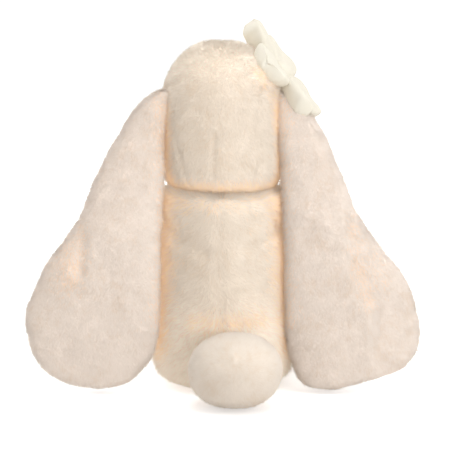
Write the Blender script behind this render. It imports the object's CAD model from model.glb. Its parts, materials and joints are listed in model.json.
"""A sitting plush rabbit with long hanging ears, a round tail and a velvet flower.

Lengths named in millimetres are turned into metres with MM. The row frame has +Z up,
the face towards -Y and the tail towards +Y; the rabbit's left side is at +X.
"""

import json
import math

import bpy
import numpy as np
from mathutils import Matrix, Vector
from mathutils.bvhtree import BVHTree

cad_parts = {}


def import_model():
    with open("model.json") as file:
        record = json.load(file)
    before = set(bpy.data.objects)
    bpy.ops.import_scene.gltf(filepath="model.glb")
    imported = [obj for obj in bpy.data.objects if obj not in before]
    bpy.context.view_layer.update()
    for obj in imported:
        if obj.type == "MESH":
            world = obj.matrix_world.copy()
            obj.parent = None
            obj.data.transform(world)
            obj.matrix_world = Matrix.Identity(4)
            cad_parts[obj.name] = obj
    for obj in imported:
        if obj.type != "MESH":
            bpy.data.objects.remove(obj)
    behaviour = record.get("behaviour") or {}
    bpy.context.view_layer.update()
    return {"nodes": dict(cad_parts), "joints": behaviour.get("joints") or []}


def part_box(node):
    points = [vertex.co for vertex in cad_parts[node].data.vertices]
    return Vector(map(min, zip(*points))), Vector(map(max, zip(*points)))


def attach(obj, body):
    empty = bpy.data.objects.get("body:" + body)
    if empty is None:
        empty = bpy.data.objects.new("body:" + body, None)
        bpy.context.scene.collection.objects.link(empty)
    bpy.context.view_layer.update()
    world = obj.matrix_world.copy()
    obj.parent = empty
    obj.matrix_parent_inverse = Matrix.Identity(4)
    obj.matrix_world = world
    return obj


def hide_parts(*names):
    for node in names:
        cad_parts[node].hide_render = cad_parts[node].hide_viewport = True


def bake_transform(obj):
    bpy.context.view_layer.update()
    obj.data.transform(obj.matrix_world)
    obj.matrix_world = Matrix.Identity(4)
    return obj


MM = 0.001
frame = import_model()
joints = {j["name"]: j for j in frame["joints"]}
LEFT, RIGHT = 1, -1
SIDES = (("left", LEFT), ("right", RIGHT))
EYE_OFFSET, EYE_HEIGHT = 21, 214      # millimetres, from the middle and from the floor
NOSE_HEIGHT = 201.5
LEG_REACH = 80                        # from the hip joint to the sole


def joint_place(name):
    """A joint's position, in millimetres."""
    return np.array(joints[name]["pos_m"], float) / MM


neck = joint_place("head_turn")
low, high = (np.array(corner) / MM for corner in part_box("head_back"))
head_radius = (high[0] - low[0]) / 2
head_top = high[2]
dome_height = head_top - head_radius


# ------------------------------------------------------------ camera and stage
def make_camera():
    """Behind the toy and a little above it, on a long lens."""
    distance, elevation, field_width = 1.5, math.radians(10), 0.3555
    target = Vector((-0.0016, 0, 0.1269))
    data = bpy.data.cameras.new("camera")
    data.sensor_width = 36
    data.lens = data.sensor_width * distance / field_width
    camera = bpy.data.objects.new("camera", data)
    bpy.context.scene.collection.objects.link(camera)
    camera.location = target + distance * Vector((0, math.cos(elevation), math.sin(elevation)))
    camera.rotation_euler = (math.radians(90) - elevation, 0, math.radians(180))
    bpy.context.scene.camera = camera


def make_light(name, place, target, size, power):
    data = bpy.data.lights.new(name, "AREA")
    data.shape = "DISK"
    data.size = size
    data.energy = power
    light = bpy.data.objects.new(name, data)
    bpy.context.scene.collection.objects.link(light)
    light.location = place
    light.rotation_euler = (Vector(target) - Vector(place)).to_track_quat("-Z", "Y").to_euler()


def make_stage():
    world = bpy.data.worlds.new("studio")
    world.use_nodes = True
    tree = world.node_tree
    background = tree.nodes["Background"]
    background.inputs["Color"].default_value = (1, 1, 1, 1)
    rays = tree.nodes.new("ShaderNodeLightPath")
    strength = tree.nodes.new("ShaderNodeMapRange")
    strength.inputs["To Min"].default_value = 0.70
    strength.inputs["To Max"].default_value = 1.05
    tree.links.new(rays.outputs["Is Camera Ray"], strength.inputs["Value"])
    tree.links.new(strength.outputs["Result"], background.inputs["Strength"])
    bpy.context.scene.world = world
    bpy.context.scene.view_settings.view_transform = "Standard"
    make_light("key", (-1.4, 1.0, 1.2), (0, 0, 0.08), 1.0, 8)
    make_light("top", (-0.2, 0.2, 1.8), (0, 0, 0.15), 0.9, 10)
    make_light("fill", (-0.9, 1.8, 0.25), (0, 0, 0.06), 1.0, 14)
    make_light("front", (0.5, -1.6, 1.1), (0, 0, 0.15), 1.3, 14)
    make_light("side", (1.7, -0.7, 0.7), (0, 0, 0.12), 1.2, 12)
    bpy.ops.mesh.primitive_plane_add(size=60)
    floor = bpy.context.object
    floor.name = "floor"
    material = bpy.data.materials.new("floor")
    material.use_nodes = True
    shader = material.node_tree.nodes["Principled BSDF"]
    shader.inputs["Base Color"].default_value = (0.95, 0.945, 0.94, 1)
    shader.inputs["Roughness"].default_value = 0.9
    seen = material.node_tree.nodes.new("ShaderNodeLightPath")
    lift = material.node_tree.nodes.new("ShaderNodeMath")
    lift.operation = "MULTIPLY"
    lift.inputs[1].default_value = 0.42
    material.node_tree.links.new(seen.outputs["Is Camera Ray"], lift.inputs[0])
    material.node_tree.links.new(lift.outputs[0], shader.inputs["Emission Strength"])
    shader.inputs["Emission Color"].default_value = (1, 1, 1, 1)
    floor.data.materials.append(material)


# ------------------------------------------------------------------- materials
def nodes_of(name):
    material = bpy.data.materials.new(name)
    material.use_nodes = True
    tree = material.node_tree
    return material, tree, tree.nodes["Principled BSDF"]


def noise_node(tree, coordinates, scale, detail=3.0, stretch=None):
    """Noise in object space, in features per metre, optionally stretched."""
    noise = tree.nodes.new("ShaderNodeTexNoise")
    noise.inputs["Scale"].default_value = scale
    noise.inputs["Detail"].default_value = detail
    if stretch:
        mapping = tree.nodes.new("ShaderNodeMapping")
        mapping.inputs["Scale"].default_value = stretch
        tree.links.new(coordinates.outputs["Object"], mapping.inputs["Vector"])
        tree.links.new(mapping.outputs["Vector"], noise.inputs["Vector"])
    else:
        tree.links.new(coordinates.outputs["Object"], noise.inputs["Vector"])
    return noise


def cloth_material(name, light, dark, patch=45, grain=1800, bump=0.4, sheen=0.4, rough=0.85,
                   stretch=None):
    """Napped cloth: patches where the pile lies differently, and a fine fibrous grain."""
    material, tree, shader = nodes_of(name)
    coordinates = tree.nodes.new("ShaderNodeTexCoord")
    patches = noise_node(tree, coordinates, patch, 3.0)
    fibres = noise_node(tree, coordinates, grain, 2.0, stretch)
    mix = tree.nodes.new("ShaderNodeMix")
    mix.data_type = "RGBA"
    mix.inputs["A"].default_value = (*dark, 1)
    mix.inputs["B"].default_value = (*light, 1)
    blend = tree.nodes.new("ShaderNodeMath")
    blend.operation = "MULTIPLY_ADD"
    blend.inputs[1].default_value = 0.6
    tree.links.new(fibres.outputs["Fac"], blend.inputs[0])
    half = tree.nodes.new("ShaderNodeMath")
    half.operation = "MULTIPLY"
    half.inputs[1].default_value = 0.75
    tree.links.new(patches.outputs["Fac"], half.inputs[0])
    tree.links.new(half.outputs[0], blend.inputs[2])
    tree.links.new(blend.outputs[0], mix.inputs["Factor"])
    tree.links.new(mix.outputs["Result"], shader.inputs["Base Color"])
    bumps = tree.nodes.new("ShaderNodeBump")
    bumps.inputs["Strength"].default_value = bump
    bumps.inputs["Distance"].default_value = 0.0006
    tree.links.new(fibres.outputs["Fac"], bumps.inputs["Height"])
    tree.links.new(bumps.outputs["Normal"], shader.inputs["Normal"])
    shader.inputs["Roughness"].default_value = rough
    shader.inputs["Sheen Weight"].default_value = sheen
    shader.inputs["Sheen Roughness"].default_value = 0.5
    shader.inputs["Sheen Tint"].default_value = (*light, 1)
    return material


def fibre_material(name, colour, glow):
    """One dyed fibre tint. Each pile mixes several tints, fibre by fibre.

    glow is the little warm light that real fibres pass on to each other.
    """
    material, _, shader = nodes_of(name)
    shader.inputs["Emission Color"].default_value = (*(np.array(colour) * (1, 0.84, 0.70)), 1)
    shader.inputs["Emission Strength"].default_value = glow
    shader.inputs["Base Color"].default_value = (*colour, 1)
    shader.inputs["Roughness"].default_value = 0.75
    shader.inputs["Specular IOR Level"].default_value = 0.25
    shader.inputs["Sheen Weight"].default_value = 0.25
    shader.inputs["Sheen Roughness"].default_value = 0.45
    shader.inputs["Sheen Tint"].default_value = (*colour, 1)
    return material


def tint_set(name, colour, glow):
    """Dark, middle, light, warm and sunlit fibres of one dyed cloth."""
    colour = np.array(colour)
    return [
        fibre_material(f"{name}_dark", tuple(colour * (0.96, 0.925, 0.885)), glow),
        fibre_material(f"{name}_mid", tuple(colour), glow),
        fibre_material(f"{name}_light", tuple(np.minimum(colour * 1.03, 0.97)), glow),
        fibre_material(f"{name}_warm", tuple(np.minimum(colour * (1.05, 0.88, 0.72), 0.97)),
                       2.4 * glow),
        fibre_material(f"{name}_sunlit", tuple(np.minimum(colour * (1.04, 1.055, 1.06), 0.97)),
                       glow + 0.12),
    ]


# ------------------------------------------------------------------ mesh tools
def value_noise(points, size, seed):
    """Smooth random values from -1 to 1 with features of about size, at points (n, 3)."""
    scaled = np.asarray(points, float) / size + seed * 17.31
    cell = np.floor(scaled)
    part = scaled - cell
    part = part * part * (3 - 2 * part)
    total = np.zeros(len(scaled))
    for corner in range(8):
        step = np.array([corner & 1, corner >> 1 & 1, corner >> 2 & 1], float)
        at = cell + step
        mixed = np.sin(at @ np.array([127.1, 311.7, 74.7]) + seed) * 43758.5453
        weight = np.prod(np.where(step > 0, part, 1 - part), axis=1)
        total += weight * (mixed - np.floor(mixed))
    return total * 2 - 1


def smooth_through(xs, ys, at):
    """A smooth curve through the points (xs, ys), read at positions at. xs rises."""
    xs, ys, at = (np.asarray(a, float) for a in (xs, ys, at))
    slope = np.gradient(ys, xs)
    i = np.clip(np.searchsorted(xs, at) - 1, 0, len(xs) - 2)
    span = xs[i + 1] - xs[i]
    t = np.clip((at - xs[i]) / span, 0, 1)
    return ((2 * t**3 - 3 * t**2 + 1) * ys[i] + (t**3 - 2 * t**2 + t) * span * slope[i]
            + (3 * t**2 - 2 * t**3) * ys[i + 1] + (t**3 - t**2) * span * slope[i + 1])


def smoothstep(low, high, value):
    t = np.clip((value - low) / (high - low), 0, 1)
    return t * t * (3 - 2 * t)


def unit(vectors):
    return vectors / np.maximum(np.linalg.norm(vectors, axis=-1, keepdims=True), 1e-9)


def ring_angles(count):
    return np.linspace(0, 2 * np.pi, count, endpoint=False)


def skin_of_rings(name, rings, material):
    """A closed smooth skin over rings of points (rings, points, 3), in millimetres."""
    rings = np.asarray(rings, float)
    rows, columns = rings.shape[:2]
    points = np.vstack([rings.reshape(-1, 3), rings[0].mean(0), rings[-1].mean(0)])
    first, last = rows * columns, rows * columns + 1
    faces = []
    for row in range(rows - 1):
        for column in range(columns):
            after = (column + 1) % columns
            a, b = row * columns + column, row * columns + after
            faces.append((a, b, b + columns, a + columns))
    for column in range(columns):
        after = (column + 1) % columns
        faces.append((first, after, column))
        base = (rows - 1) * columns
        faces.append((last, base + column, base + after))
    mesh = bpy.data.meshes.new(name)
    mesh.from_pydata((points * MM).tolist(), [], faces)
    mesh.polygons.foreach_set("use_smooth", np.ones(len(faces), bool))
    mesh.materials.append(material)
    mesh.update()
    skin = bpy.data.objects.new(name, mesh)
    bpy.context.scene.collection.objects.link(skin)
    volume = sum(
        Vector(mesh.vertices[p.vertices[0]].co).dot(p.normal) * p.area for p in mesh.polygons
    )
    if volume < 0:
        mesh.flip_normals()
    return skin


def points_of(skin):
    """The vertices, in millimetres, and their normals."""
    count = len(skin.data.vertices)
    points, normals = np.empty(count * 3), np.empty(count * 3)
    skin.data.vertices.foreach_get("co", points)
    skin.data.vertex_normals.foreach_get("vector", normals)
    return points.reshape(-1, 3) / MM, normals.reshape(-1, 3)


def set_points(skin, points):
    skin.data.vertices.foreach_set("co", (points * MM).ravel())
    skin.data.update()


def distance_to_path(points, path):
    """Distance from each point to a polyline."""
    best = np.full(len(points), 1e9)
    path = np.asarray(path, float)
    for a, b in zip(path[:-1], path[1:]):
        t = np.clip(((points - a) @ (b - a)) / ((b - a) @ (b - a)), 0, 1)
        best = np.minimum(best, np.linalg.norm(points - a - t[:, None] * (b - a), axis=1))
    return best


def carve(skin, path, depth, width):
    """Presses a groove along a path near the surface, or raises a ridge if depth is negative."""
    points, normals = points_of(skin)
    push = depth * np.exp(-(distance_to_path(points, path) / width) ** 2)
    set_points(skin, points - normals * push[:, None])


def ruffle(skin, height, size, seed):
    """Soft uneven stuffing: gentle bumps of that height and size."""
    points, normals = points_of(skin)
    set_points(skin, points + normals * (height * value_noise(points, size, seed))[:, None])


# ------------------------------------------------------------------------ pile
def grow_pile(name, skin, count, length, width, flow, stand, tints, seed,
              keep=None, trim=None, blush=None, sun=None, mess=0.2, soft=0.85):
    """Plush pile: count thin three-sided fibres that stand on the skin and lean along flow.

    flow(points, normals) gives the lean, stand is 0 flat to 1 upright, keep(points, normals)
    is the share of fibres kept, trim(points) scales their length, blush(points) and sun(points)
    are the shares of warm and of sunlit fibres, and soft is how much the shading follows the
    skin.
    """
    rng = np.random.default_rng(seed)
    mesh = skin.data
    mesh.calc_loop_triangles()
    corners = np.empty(len(mesh.loop_triangles) * 3, np.int64)
    mesh.loop_triangles.foreach_get("vertices", corners)
    corners = corners.reshape(-1, 3)
    points, normals = points_of(skin)
    a, b, c = (points[corners[:, i]] for i in range(3))
    share = np.linalg.norm(np.cross(b - a, c - a), axis=1)
    if keep is not None:
        share = share * keep((a + b + c) / 3, unit(normals[corners].mean(1)))
    picks = np.searchsorted(np.cumsum(share), rng.random(count) * share.sum())
    picks = np.clip(picks, 0, len(share) - 1)
    u, v = rng.random(count), rng.random(count)
    over = u + v > 1
    u[over], v[over] = 1 - u[over], 1 - v[over]
    weights = np.stack([1 - u - v, u, v], 1)
    roots = (points[corners[picks]] * weights[:, :, None]).sum(1)
    out = unit((normals[corners[picks]] * weights[:, :, None]).sum(1))
    lean = flow(roots, out)
    lean = unit(lean - out * (lean * out).sum(1, keepdims=True))
    swirl = 0.7 * value_noise(roots, 7.0, seed) + 0.6 * value_noise(roots, 3.2, seed + 1)
    wander = swirl[:, None] * np.cross(out, lean)
    stray = rng.normal(0, mess, (count, 3))
    heading = unit(out * stand + (lean + wander) * (1 - stand) + stray)
    size = length * (0.75 + 0.35 * rng.random(count))
    size = size * (1 + 0.16 * value_noise(roots, 4.5, seed + 2))
    if trim is not None:
        size = size * trim(roots)
    across = unit(np.cross(heading, rng.normal(0, 1, (count, 3))))
    third = np.cross(heading, across)
    base = roots - out * 0.3
    sides = [across, third * 0.87 - across * 0.5, -third * 0.87 - across * 0.5]
    verts = np.stack([base + way * width * 0.58 for way in sides]
                     + [roots + heading * size[:, None]], 1)
    shade = unit(out * soft + heading * (1 - soft) + stray * 0.3)
    tone = (value_noise(roots, 16.0, seed + 3) * 0.5 + value_noise(roots, 5.0, seed + 4) * 0.5
            + value_noise(roots, 2.4, seed + 5) * 0.6 + rng.normal(0, 0.35, count))
    tint = np.clip(np.digitize(tone, (-0.45, 0.45)), 0, 2)
    if sun is not None:
        tint = np.where(rng.random(count) < sun(roots), 4, tint)
    if blush is not None:
        tint = np.where(rng.random(count) < blush(roots), 3, tint)
    return build_fibres(name, verts, shade, tints, tint)


def build_fibres(name, verts, shade, tints, tint):
    """One mesh of three-sided spikes, each with its tint."""
    count = len(verts)
    start = np.arange(count)[:, None] * 4
    loops = np.hstack([start + np.array([[0, 1, 3]]), start + np.array([[1, 2, 3]]),
                       start + np.array([[2, 0, 3]])])
    mesh = bpy.data.meshes.new(name)
    mesh.vertices.add(count * 4)
    mesh.vertices.foreach_set("co", (verts * MM).ravel())
    mesh.loops.add(count * 9)
    mesh.loops.foreach_set("vertex_index", loops.ravel().astype(np.int32))
    mesh.polygons.add(count * 3)
    mesh.polygons.foreach_set("loop_start", (np.arange(count * 3) * 3).astype(np.int32))
    mesh.polygons.foreach_set("use_smooth", np.ones(count * 3, bool))
    mesh.polygons.foreach_set("material_index", np.repeat(tint, 3).astype(np.int32))
    for material in tints:
        mesh.materials.append(material)
    mesh.update(calc_edges=True)
    mesh.normals_split_custom_set_from_vertices(np.repeat(shade, 4, axis=0).tolist())
    pile = bpy.data.objects.new(name, mesh)
    pile.visible_shadow = False
    bpy.context.scene.collection.objects.link(pile)
    return pile


def near(*spots):
    """A share that fades out from the paths given: spots are (path, width, share on it)."""
    def share(points):
        return np.clip(
            sum(most * np.exp(-(distance_to_path(points, path) / width) ** 2)
                for path, width, most in spots), 0, 1)
    return share


def downward(points, normals):
    return np.tile(np.array([0, 0, -1.0]), (len(points), 1))


def half(split, side):
    """A keep function for one half of a piece: behind (1) or before (-1) the plane y = split."""
    def share(points, normals):
        behind = points[:, 1] > split
        return (behind if side > 0 else ~behind).astype(float)
    return share


def pile_count(full):
    """Fewer fibres while trying things."""
    return full


def finish_stuffed(skin, piles, body, replaced):
    """A stuffed part: the skin stands for its CAD nodes, and its pile goes with it."""
    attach(skin, body)
    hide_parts(*replaced)
    for pile in piles:
        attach(pile, body)


# ------------------------------------------------------------------- materials
BODY = (0.83, 0.75, 0.65)
EAR = (0.88, 0.79, 0.71)
TAIL = (0.82, 0.74, 0.65)
FLOWER = (0.61, 0.575, 0.495)

make_camera()
make_stage()
body_cloth = cloth_material("body_cloth", BODY, (0.84, 0.69, 0.54), grain=900)
ear_cloth = cloth_material("ear_cloth", EAR, (0.89, 0.72, 0.59), grain=1400)
tail_cloth = cloth_material("tail_cloth", TAIL, (0.90, 0.78, 0.65), grain=1400)
flower_cloth = cloth_material(
    "flower_velvet", FLOWER, (0.61, 0.57, 0.47), patch=60, grain=3000, bump=0.25, sheen=0.1)
flower_shader = flower_cloth.node_tree.nodes["Principled BSDF"]
flower_shader.inputs["Emission Color"].default_value = (1, 0.94, 0.80, 1)
flower_shader.inputs["Emission Strength"].default_value = 0.12
sole_cloth = cloth_material("sole_velvet", (0.80, 0.65, 0.56), (0.74, 0.57, 0.47), grain=2600)
body_tints = tint_set("body_fibre", BODY, 0.16)
ear_tints = tint_set("ear_fibre", EAR, 0.08)
tail_tints = tint_set("tail_fibre", TAIL, 0.085)


# ----------------------------------------------------------------------- torso
def make_torso():
    heights = np.array([2.0, 2.5, 6, 13, 24, 42, 76, 108, 133, 146, 152.5, 156, 157.5])
    radii = np.array([4.0, 32, 43, 49, 52, 52.5, 50, 49, 48.5, 48, 45.5, 36, 6])
    along = np.linspace(0, 1, 150)
    run = np.concatenate([[0], np.cumsum(np.hypot(np.diff(heights), np.diff(radii)))])
    run /= run[-1]
    z = smooth_through(run, heights, along)
    r = smooth_through(run, radii, along)
    angle = ring_angles(200)
    rings = np.stack([
        np.outer(r, np.cos(angle)), np.outer(r, np.sin(angle)) * 0.93 + 1.5,
        np.repeat(z[:, None], len(angle), 1)], -1)
    skin = skin_of_rings("torso_skin", rings, body_cloth)
    ruffle(skin, 1.3, 26, 3)
    ruffle(skin, 0.5, 10, 4)
    back = 50.0
    carve(skin, [(3, back, 152), (3, back + 1, 104), (1, back + 2, 54)], 1.8, 4.0)
    carve(skin, [(4, back, 124), (5, back, 119)], 2.6, 3.5)
    carve(skin, [(47, 20, 134), (30, 42, 121), (14, 48, 115)], 3.0, 6.0)
    carve(skin, [(-47, 20, 131), (-30, 42, 120), (-17, 48, 117)], 2.8, 6.0)
    carve(skin, [(50, 12, 105), (34, 38, 101)], 1.8, 6.0)
    carve(skin, [(-37, 32, 150), (-40, 26, 136), (-47, 22, 119)], 3.0, 5.0)

    def flow(points, normals):
        side = np.sign(points[:, 0] - 3) * smoothstep(0, 12, np.abs(points[:, 0] - 3))
        down = np.tile(np.array([0.0, 0, -1.0]), (len(points), 1))
        down[:, 0] += side * 0.75 * (points[:, 1] > 0)
        return down

    def short_below(points):
        return 0.35 + 0.65 * smoothstep(3, 16, points[:, 2])

    ring = [(48 * math.cos(a), 48 * math.sin(a) * 0.93 + 1.5, 152) for a in ring_angles(24)]
    sides = [[(sign * 44, 28, 150), (sign * 48, 24, 90), (sign * 50, 22, 40)] for sign in (1, -1)]
    warm = near((ring + ring[:1], 6, 0.2), (sides[0], 11, 0.9), (sides[1], 11, 0.9),
                ([(-28, 44, 62), (2, 52, 60), (20, 48, 60)], 7, 0.4))

    def bounced(points):
        return 0.85 * smoothstep(95, 30, points[:, 2])

    piles = [
        grow_pile("torso_pile_back", skin, pile_count(66000), 8.0, 0.5, flow, 0.42,
                  body_tints, 11, half(-2, 1), short_below, warm, bounced, mess=0.22,
                  soft=0.66),
        grow_pile("torso_pile_front", skin, pile_count(60000), 7.5, 0.5, flow, 0.42,
                  body_tints, 12, half(-2, -1), short_below, warm, bounced, mess=0.22,
                  soft=0.66),
    ]
    finish_stuffed(skin, piles, "torso",
                   ["body_front", "body_back_left", "body_back_right", "body_seat",
                    "body_filling"])
    return skin


# ------------------------------------------------------------------------ head
def make_head():
    radius = head_radius + 1.2
    base = neck[2] + 1
    heights = [base - 1, base, base + 2, base + 8, base + 20, base + 42, dome_height]
    radii = [4, 33, 40.5, 44, radius + 0.3, radius + 0.3, radius]
    for step in range(1, 9):
        turn = step / 9 * math.pi / 2
        heights.append(dome_height + radius * math.sin(turn))
        radii.append(radius * math.cos(turn))
    heights, radii = np.array(heights), np.array(radii)
    run = np.concatenate([[0], np.cumsum(np.hypot(np.diff(heights), np.diff(radii)))])
    run /= run[-1]
    along = np.linspace(0, 1, 150)
    z, r = smooth_through(run, heights, along), smooth_through(run, radii, along)
    angle = ring_angles(200)
    rings = np.stack([
        np.outer(r, np.cos(angle)), np.outer(r, np.sin(angle)),
        np.repeat(z[:, None], len(angle), 1)], -1)
    skin = skin_of_rings("head_skin", rings, body_cloth)
    points, normals = points_of(skin)
    forward = smoothstep(0, -20, points[:, 1])
    muzzle = np.exp(-(points[:, 0] / 19) ** 2 - ((points[:, 2] - 194) / 14) ** 2) * forward
    brow = np.exp(-(points[:, 0] / 26) ** 2 - ((points[:, 2] - 238) / 16) ** 2) * forward
    cheek = sum(
        np.exp(-((points[:, 0] - s * 24) / 13) ** 2 - ((points[:, 2] - 189) / 13) ** 2)
        for s in (1, -1)) * forward
    points[:, 1] -= 11 * muzzle + 2 * brow + 4 * cheek
    points[:, 2] += 0.18 * np.maximum(0, -points[:, 1]) * smoothstep(base + 30, base, points[:, 2])
    set_points(skin, points)
    ruffle(skin, 0.8, 24, 7)
    back = radius
    carve(skin, [(36, back * 0.62, 199), (31, back * 0.72, 183), (27, back * 0.8, 163)], 1.4, 2.4)
    carve(skin, [(6, back, 203), (7, back, 189), (8, back, 171)], 1.3, 2.2)
    carve(skin, [(-27, back * 0.8, 181), (-25, back * 0.83, 163)], 1.1, 2.2)
    for _, side in SIDES:
        carve(skin, [(side * 20, -44, EYE_HEIGHT), (side * EYE_OFFSET, -42, EYE_HEIGHT)], 2.2, 7)

    def flow(points, normals):
        down = -np.full(len(points), 30.0)
        away = np.stack([points[:, 0] * 0.6, points[:, 1] * 0.3 + 9, down], 1)
        face = (points[:, 1] < -25)[:, None]
        from_nose = points - np.array([0, -55, 199])
        return np.where(face, from_nose, away)

    def short_face(points):
        snout = np.exp(-(points[:, 0] / 14) ** 2 - ((points[:, 2] - 196) / 12) ** 2)
        shorn = snout * (points[:, 1] < -30)
        for _, side in SIDES:
            eye = np.array([side * EYE_OFFSET, -40, EYE_HEIGHT])
            shorn = np.maximum(shorn, np.exp(-(np.linalg.norm(points - eye, axis=1) / 9) ** 2))
        return 1 - 0.6 * shorn

    ring = [(40 * math.cos(a), 40 * math.sin(a), 164) for a in ring_angles(24)]
    edges = [[(sign * 42, 16, 222), (sign * 42, 17, 160)] for sign in (1, -1)]
    warm = near((ring + ring[:1], 5, 0.8), (edges[0], 6, 0.9), (edges[1], 6, 0.9),
                ([(-26, 26, 248), (-36, 20, 228), (-41, 18, 210)], 6, 0.8))

    def crown(points):
        return 0.95 * smoothstep(236, 262, points[:, 2])

    piles = [
        grow_pile("head_pile_back", skin, pile_count(66000), 4.6, 0.42, flow, 0.45,
                  body_tints, 21, half(-6, 1), None, warm, crown, mess=0.24, soft=0.72),
        grow_pile("head_pile_front", skin, pile_count(60000), 4.6, 0.42, flow, 0.45,
                  body_tints, 22, half(-6, -1), short_face, warm, crown, mess=0.24, soft=0.72),
    ]
    finish_stuffed(skin, piles, "head",
                   ["head_back", "head_side_left", "head_side_right", "head_filling"])
    return skin


# ------------------------------------------------------------------------ ears
# height, inner edge and outer edge of each ear's outline, root to tip
EAR_OUTLINES = {
    "left": ((234, 41, 48), (229, 40, 57), (221, 41, 66), (207, 45, 75), (189, 47.5, 86),
             (163, 46.5, 99), (136, 48.5, 111.5), (120, 50.5, 121.5), (105, 51, 132.5),
             (89, 51, 141), (73, 51, 148.5), (57, 51.5, 151.5), (42, 53, 150.5),
             (27, 57.5, 146), (18, 65, 139), (11, 73, 128), (7, 84, 114), (5.5, 95, 101)),
    "right": ((233, 41, 47), (228, 40, 55), (219, 40.5, 64), (205, 43, 74), (189, 45, 82.5),
              (163, 45.5, 94), (141, 47.5, 102.5), (128, 48.5, 111), (111, 49, 124.5),
              (95, 49.5, 137), (79, 49.5, 145), (63, 49.5, 150), (50, 50, 152),
              (37, 51.5, 151.5), (27, 54, 147), (18, 58, 135), (11, 62, 112), (7, 68, 98),
              (5, 78, 90)),
}
EAR_DEPTH = ((5, 34), (53, 33), (99, 31), (136, 27), (191, 19), (210, 15), (234, 12))


def make_ear(name, side):
    outline = np.array(EAR_OUTLINES[name][::-1], float)
    t = np.linspace(0, np.pi, 190)
    z = outline[0, 0] + (outline[-1, 0] - outline[0, 0]) * (0.5 - 0.5 * np.cos(t))
    inner = smooth_through(outline[:, 0], outline[:, 1], z)
    outer = smooth_through(outline[:, 0], outline[:, 2], z)
    depth = smooth_through(*np.array(EAR_DEPTH).T, z)
    half = (outer - inner) / 2
    thick = 10.5 * (1 - np.exp(-half / 8.5))
    angle = ring_angles(140)
    bulge = 2 / 2.3
    cos = np.sign(np.cos(angle)) * np.abs(np.cos(angle)) ** bulge
    sin = np.sign(np.sin(angle)) * np.abs(np.sin(angle)) ** bulge
    rings = np.stack([
        side * ((inner + outer) / 2)[:, None] + np.outer(half, cos),
        depth[:, None] + np.outer(thick, sin),
        np.repeat(z[:, None], len(angle), 1)], -1)
    skin = skin_of_rings(f"{name}_ear_skin", rings, ear_cloth)
    ruffle(skin, 1.3, 30, 31 + side)
    ruffle(skin, 0.45, 11, 41 + side)
    if side == LEFT:
        folds = [[(112, 38, 138), (109, 41, 118), (110, 43, 98)]]
        carve(skin, folds[0], 2.4, 5)
        carve(skin, [(108, 20, 139), (105, 20, 113)], 2.0, 8)
        carve(skin, [(125, 44, 33), (108, 46, 19)], 1.4, 12)
    else:
        points, normals = points_of(skin)
        fold = smooth_through((71, 105, 143), (-113, -104, -101), points[:, 2])
        flap = smoothstep(0, 9, fold - points[:, 0]) * smoothstep(153, 133, points[:, 2])
        flap = flap * smoothstep(13, 63, points[:, 2])
        points[:, 1] -= 7.5 * flap
        set_points(skin, points)
        folds = [[(-101, 34, 143), (-104, 38, 105), (-112, 38, 73)]]
        carve(skin, folds[0], 3.6, 5)
        carve(skin, [(-67, 38, 133), (-62, 40, 121)], 1.1, 6)

    def flow(points, normals):
        lean = np.tile(np.array([0.0, 0, -1.0]), (len(points), 1))
        lean[:, 0] += side * 0.25 * value_noise(points, 35, 5)
        return lean

    patch = [side * 118, 42, 92]
    hem = [(side * 46, 16, 222), (side * 50, 24, 130), (side * 51, 32, 60)]
    warm = near((folds[0], 5, 0.28), ([patch, patch + np.array((0, 0, 26))], 10, 0.25),
                (hem, 7, 0.5))

    def behind(points, normals):
        return smoothstep(-0.35, 0.0, normals[:, 1])

    def before(points, normals):
        return 1 - smoothstep(-0.35, 0.0, normals[:, 1])

    pieces = [
        grow_pile(f"{name}_ear_pile", skin, pile_count(66000), 3.8, 0.5, flow, 0.5,
                  ear_tints, 51 + side, behind, None, warm, mess=0.22, soft=0.74),
        grow_pile(f"{name}_ear_lining_pile", skin, pile_count(50000), 3.0, 0.5, flow, 0.45,
                  ear_tints, 61 + side, before, None, warm, mess=0.2, soft=0.76),
    ]
    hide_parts(f"{name}_ear_root", f"{name}_ear_back", f"{name}_ear_lining",
                f"{name}_ear_filling")
    for piece in [skin, *pieces]:
        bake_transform(piece)


# ------------------------------------------------------------------------ arms
def limb_rings(origin, along, across, distances, widths, heights, rises=None, count=110):
    """Oval rings along a limb, in millimetres."""
    along, across = unit(np.array(along, float)), unit(np.array(across, float))
    upright = np.cross(across, along)
    if upright[2] < 0:
        upright = -upright
    angle = ring_angles(count)
    rises = np.zeros(len(distances)) if rises is None else rises
    centre = (np.asarray(origin)[None] + np.outer(distances, along)
              + np.outer(rises, np.array([0, 0, 1.0])))
    return (centre[:, None] + np.cos(angle)[None, :, None] * (widths[:, None, None] * across)
            + np.sin(angle)[None, :, None] * (heights[:, None, None] * upright))


def make_arm(name, side):
    shoulder = joint_place(f"{name}_arm_swing")
    along = np.array((side * 0.33, -0.30, -0.90))
    run = np.linspace(0, np.pi, 80)
    reach = -12 + (90 + 12) * (0.5 - 0.5 * np.cos(run))
    knots = (-12, -9, 0, 20, 45, 66, 78, 86, 90)
    radius = smooth_through(knots, (2, 9, 13, 13, 13, 14.5, 13.5, 9, 2), reach)
    rings = limb_rings(shoulder, along, (1, 0, 0.35 * side), reach, radius, radius * 1.05)
    skin = skin_of_rings(f"{name}_arm_skin", rings, body_cloth)
    ruffle(skin, 0.8, 18, 71 + side)
    pile = grow_pile(f"{name}_arm_pile", skin, pile_count(34000), 5.6, 0.45, downward, 0.45,
                     body_tints, 73 + side)
    finish_stuffed(skin, [pile], f"{name}_arm",
                   [f"{name}_arm_outer", f"{name}_arm_inner", f"{name}_arm_filling"])


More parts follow.
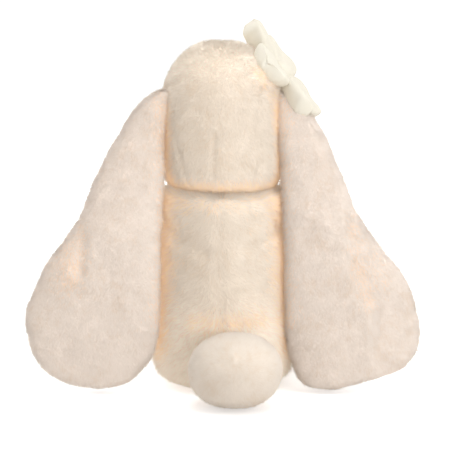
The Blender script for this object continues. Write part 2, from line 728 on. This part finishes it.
# ------------------------------------------------------------------------ legs
def make_leg(name, side):
    hip = joint_place(f"{name}_leg_lift")
    along = unit(np.array((side * 0.14, -0.99, 0.0)))
    across = np.array((along[1], -along[0], 0.0)) * -1
    run = np.linspace(0, np.pi, 90)
    reach = -17 + (LEG_REACH + 17) * (0.5 - 0.5 * np.cos(run))
    knots = (-17, -13, 0, 26, 46, 60, 70, 77, LEG_REACH)
    widths = smooth_through(knots, (3, 12, 18, 18, 19.5, 20.5, 20, 16, 12), reach)
    tall = smooth_through(knots, (3, 12, 18, 18, 22, 28.5, 28.5, 25, 20), reach)
    rises = smooth_through(knots, (0, 0, 0, 0.5, 5, 11, 12, 12, 12), reach)
    rings = limb_rings(hip, along, across, reach, widths, tall, rises)
    skin = skin_of_rings(f"{name}_leg_skin", rings, body_cloth)
    ruffle(skin, 0.9, 20, 81 + side)
    points, _ = points_of(skin)
    points[:, 2] = np.maximum(points[:, 2], 1.2)
    set_points(skin, points)
    front = hip + along * LEG_REACH

    def not_sole(points, normals):
        return 1 - smoothstep(0.80, 0.93, normals @ along)

    def short_below(points):
        return 0.3 + 0.7 * smoothstep(2, 10, points[:, 2])

    def flow(points, normals):
        return np.tile(along, (len(points), 1)) + (0, 0, -0.5)

    pile = grow_pile(f"{name}_leg_pile", skin, pile_count(46000), 5.6, 0.45, flow, 0.45,
                     body_tints, 83 + side, not_sole, short_below)
    finish_stuffed(skin, [pile], f"{name}_leg",
                   [f"{name}_leg_cover", f"{name}_leg_filling"])
    pad_reach = np.array([-5.0, -1, 1.5, 2.6, 3.2, 3.5])
    pad_size = np.array([0.86, 0.93, 0.86, 0.66, 0.36, 0.08])
    rings = limb_rings(front + (0, 0, 12), along, across, pad_reach, pad_size * 17, pad_size * 25)
    pad = skin_of_rings(f"{name}_sole_pad", rings, sole_cloth)
    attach(pad, f"{name}_leg")
    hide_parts(f"{name}_sole")


# ------------------------------------------------------------------------ tail
def make_tail():
    low, high = (np.array(corner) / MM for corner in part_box("tail_cover"))
    centre, radii = (low + high) / 2, (high - low) / 2 - (1.6, 1.5, 1.0)
    turn = np.linspace(0.02, np.pi - 0.02, 90)
    angle = ring_angles(140)
    ball = np.stack([
        np.outer(np.sin(turn), np.cos(angle)), np.repeat(np.cos(turn)[:, None], len(angle), 1),
        np.outer(np.sin(turn), np.sin(angle))], -1)
    plump = np.sign(ball) * np.abs(ball) ** 0.94
    skin = skin_of_rings("tail_skin", centre + plump * radii, tail_cloth)
    ruffle(skin, 0.9, 24, 91)
    points, _ = points_of(skin)
    inward = np.minimum(points[:, 1] - centre[1], 0)
    points[:, 1] += 0.19 * inward
    points[:, 2] = np.maximum(points[:, 2], 1.5)
    set_points(skin, points)

    def flow(points, normals):
        away = points - (centre + (0, 30, 12))
        return away + (0, 0, -8)

    def short_below(points):
        return 0.3 + 0.7 * smoothstep(2, 8, points[:, 2])

    pile = grow_pile("tail_pile", skin, pile_count(60000), 3.4, 0.38, flow, 0.5,
                     tail_tints, 92, None, short_below, near(
                         ([(-40, 66, 36), (-42, 74, 20), (-30, 66, 6)], 8, 0.8),
                         ([(22, 66, 36), (24, 74, 20), (12, 66, 6)], 8, 0.8)), mess=0.18,
                     soft=0.88)
    finish_stuffed(skin, [pile], "tail", ["tail_cover", "tail_filling"])


# ------------------------------------------------------------------------ neck
def make_neck():
    turn = np.linspace(0.05, np.pi - 0.05, 30)
    angle = ring_angles(64)
    ball = np.stack([
        np.outer(np.sin(turn), np.cos(angle)), np.outer(np.sin(turn), np.sin(angle)),
        np.repeat(np.cos(turn)[:, None], len(angle), 1)], -1)
    skin = skin_of_rings("neck_skin", neck + ball * (27, 27, 10), body_cloth)
    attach(skin, "neck")
    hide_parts("neck_cover", "neck_filling")


# ---------------------------------------------------------------------- flower
def make_flower():
    low, high = (np.array(corner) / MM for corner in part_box("flower_centre"))
    centre = (low + high) / 2
    normal = unit(np.array((-0.78, 0.05, 0.62)))
    up = unit(np.array((0, 0, 1.0)) - normal * normal[2])
    side = np.cross(normal, up)
    knots = (3, 6, 14, 26, 36, 43, 46)
    cups, drapes = (8, 2, 4, 2, 6), (0, 0, 8, 0, 0)
    for index in range(5):
        turn = index * 2 * np.pi / 5
        outward = up * math.cos(turn) + side * math.sin(turn)
        across = np.cross(normal, outward)
        run = np.linspace(0, np.pi, 60)
        reach = 3 + 43 * (0.5 - 0.5 * np.cos(run))
        wide = smooth_through(knots, (3, 7, 13, 19, 18.5, 13, 4), reach)
        deep = smooth_through(knots, (3, 5.5, 7.5, 9, 8.5, 6.5, 2.5), reach)
        cup = cups[index] * smoothstep(6, 44, reach)
        curl = 6.0 * smoothstep(10, 34, reach)
        drape = drapes[index] * smoothstep(10, 40, reach)
        angle = ring_angles(80)
        lift = (cup[:, None] + deep[:, None] * np.sin(angle)
                + curl[:, None] * (np.cos(angle) ** 2 - 0.4))
        rings = (centre + reach[:, None, None] * outward
                 + drape[:, None, None] * np.array((0, 1.0, 0))
                 + (wide[:, None] * np.cos(angle))[:, :, None] * across
                 + lift[:, :, None] * normal)
        petal = skin_of_rings(f"flower_petal_skin_{index + 1}", rings, flower_cloth)
        carve(petal, [centre + normal * 7, centre + outward * 34 + normal * 14], 2.0, 5)
        ruffle(petal, 1.1, 15, 101 + index)
        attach(petal, "head")
        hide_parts(f"flower_petal_{index + 1}")
    run = np.linspace(0.05, np.pi - 0.05, 30)
    angle = ring_angles(64)
    rings = (centre + normal * 3 + (np.cos(run) * 8)[:, None, None] * normal
             + (np.sin(run) * 9)[:, None, None]
             * (np.cos(angle)[None, :, None] * up + np.sin(angle)[None, :, None] * side))
    knot = skin_of_rings("flower_centre_skin", rings, flower_cloth)
    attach(knot, "head")
    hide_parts("flower_centre")


# ------------------------------------------------------------------------ face
def make_face(head):
    glossy, _, shader = nodes_of("eye_black")
    shader.inputs["Base Color"].default_value = (0.012, 0.009, 0.008, 1)
    shader.inputs["Roughness"].default_value = 0.08
    shader.inputs["Coat Weight"].default_value = 0.6
    surface = BVHTree.FromObject(head, bpy.context.evaluated_depsgraph_get())
    for name, side in SIDES:
        out = unit(np.array((side * 0.5, -0.866, 0.0)))
        start = Vector(np.array((side * EYE_OFFSET, -38.6, EYE_HEIGHT)) + out * 30) * MM
        hit = np.array(surface.ray_cast(start, Vector(-out))[0]) / MM
        across = np.array((out[1], -out[0], 0))
        run = np.linspace(0.05, np.pi - 0.05, 40)
        angle = ring_angles(64)
        rings = (hit + out * 1.5 + (np.cos(run) * 4.2)[:, None, None] * out
                 + (np.sin(run) * 6.2)[:, None, None]
                 * (np.cos(angle)[None, :, None] * across
                    + np.sin(angle)[None, :, None] * np.array((0, 0, 1.0))))
        eye = skin_of_rings(f"{name}_eye_dome", rings, glossy)
        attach(eye, "head")
        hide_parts(f"{name}_eye", f"{name}_eye_washer")
    thread = cloth_material("face_thread", (0.80, 0.47, 0.43), (0.66, 0.35, 0.32), grain=1500,
                            bump=0.8, stretch=(1, 1, 0.12))
    start = Vector((0, -0.1, NOSE_HEIGHT * MM))
    hit = np.array(surface.ray_cast(start, Vector((0, 1, 0)))[0]) / MM
    run = np.linspace(0.05, np.pi - 0.05, 30)
    angle = ring_angles(72)
    lobes = 1 - 0.28 * np.maximum(0, -np.sin(angle)) ** 0.8 * np.abs(np.cos(angle))
    rings = (hit + np.array((0, 0.3, 0))
             - (np.cos(run) * 3.0)[:, None, None] * np.array((0, 1.0, 0))
             + (np.sin(run))[:, None, None] * lobes[None, :, None]
             * (np.cos(angle)[None, :, None] * np.array((5.8, 0, 0))
                + np.sin(angle)[None, :, None] * np.array((0, 0, 4.2))))
    nose = skin_of_rings("nose_stitched", rings, thread)
    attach(nose, "head")
    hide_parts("nose")
    stroke = [(0, -4.0), (0, -7.5)]
    strokes = [stroke] + [
        [(side * (1 - math.cos(a)) * 5.0, -7.5 - math.sin(a) * 3.0 + (a > 1.6) * (a - 1.6) * 1.2)
         for a in np.linspace(0, 2.4, 9)] for _, side in SIDES]
    curve = bpy.data.curves.new("mouth_stitches", "CURVE")
    curve.dimensions = "3D"
    curve.bevel_depth = 0.65 * MM
    curve.bevel_resolution = 3
    for stroke in strokes:
        spline = curve.splines.new("POLY")
        spline.points.add(len(stroke) - 1)
        for point, (x, z) in zip(spline.points, stroke):
            start = Vector((x * MM, -0.1, (NOSE_HEIGHT + z) * MM))
            at = surface.ray_cast(start, Vector((0, 1, 0)))[0]
            point.co = (at[0], at[1] - 1.6 * MM, at[2], 1)
    curve.materials.append(thread)
    mouth = bpy.data.objects.new("mouth_stitches", curve)
    bpy.context.scene.collection.objects.link(mouth)
    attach(mouth, "head")
    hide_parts("mouth_stitch")


# -------------------------------------------------- CAD pieces that stay inside
def dress_inner_nodes():
    felt = cloth_material("felt", (0.88, 0.83, 0.72), (0.80, 0.74, 0.62), grain=1200)
    weave = cloth_material("bag_weave", (0.86, 0.85, 0.81), (0.74, 0.73, 0.69), grain=1600)
    beads = cloth_material("beads", (0.90, 0.90, 0.88), (0.72, 0.72, 0.70), grain=500, sheen=0)
    for node, material in (("flower_backing", felt), ("pellet_bag", weave), ("pellets", beads)):
        for material_slot in frame["nodes"][node].material_slots:
            material_slot.material = material


make_torso()
head_skin = make_head()
make_neck()
for side_name, side_sign in SIDES:
    make_ear(side_name, side_sign)
    make_arm(side_name, side_sign)
    make_leg(side_name, side_sign)
make_tail()
make_flower()
make_face(head_skin)
dress_inner_nodes()
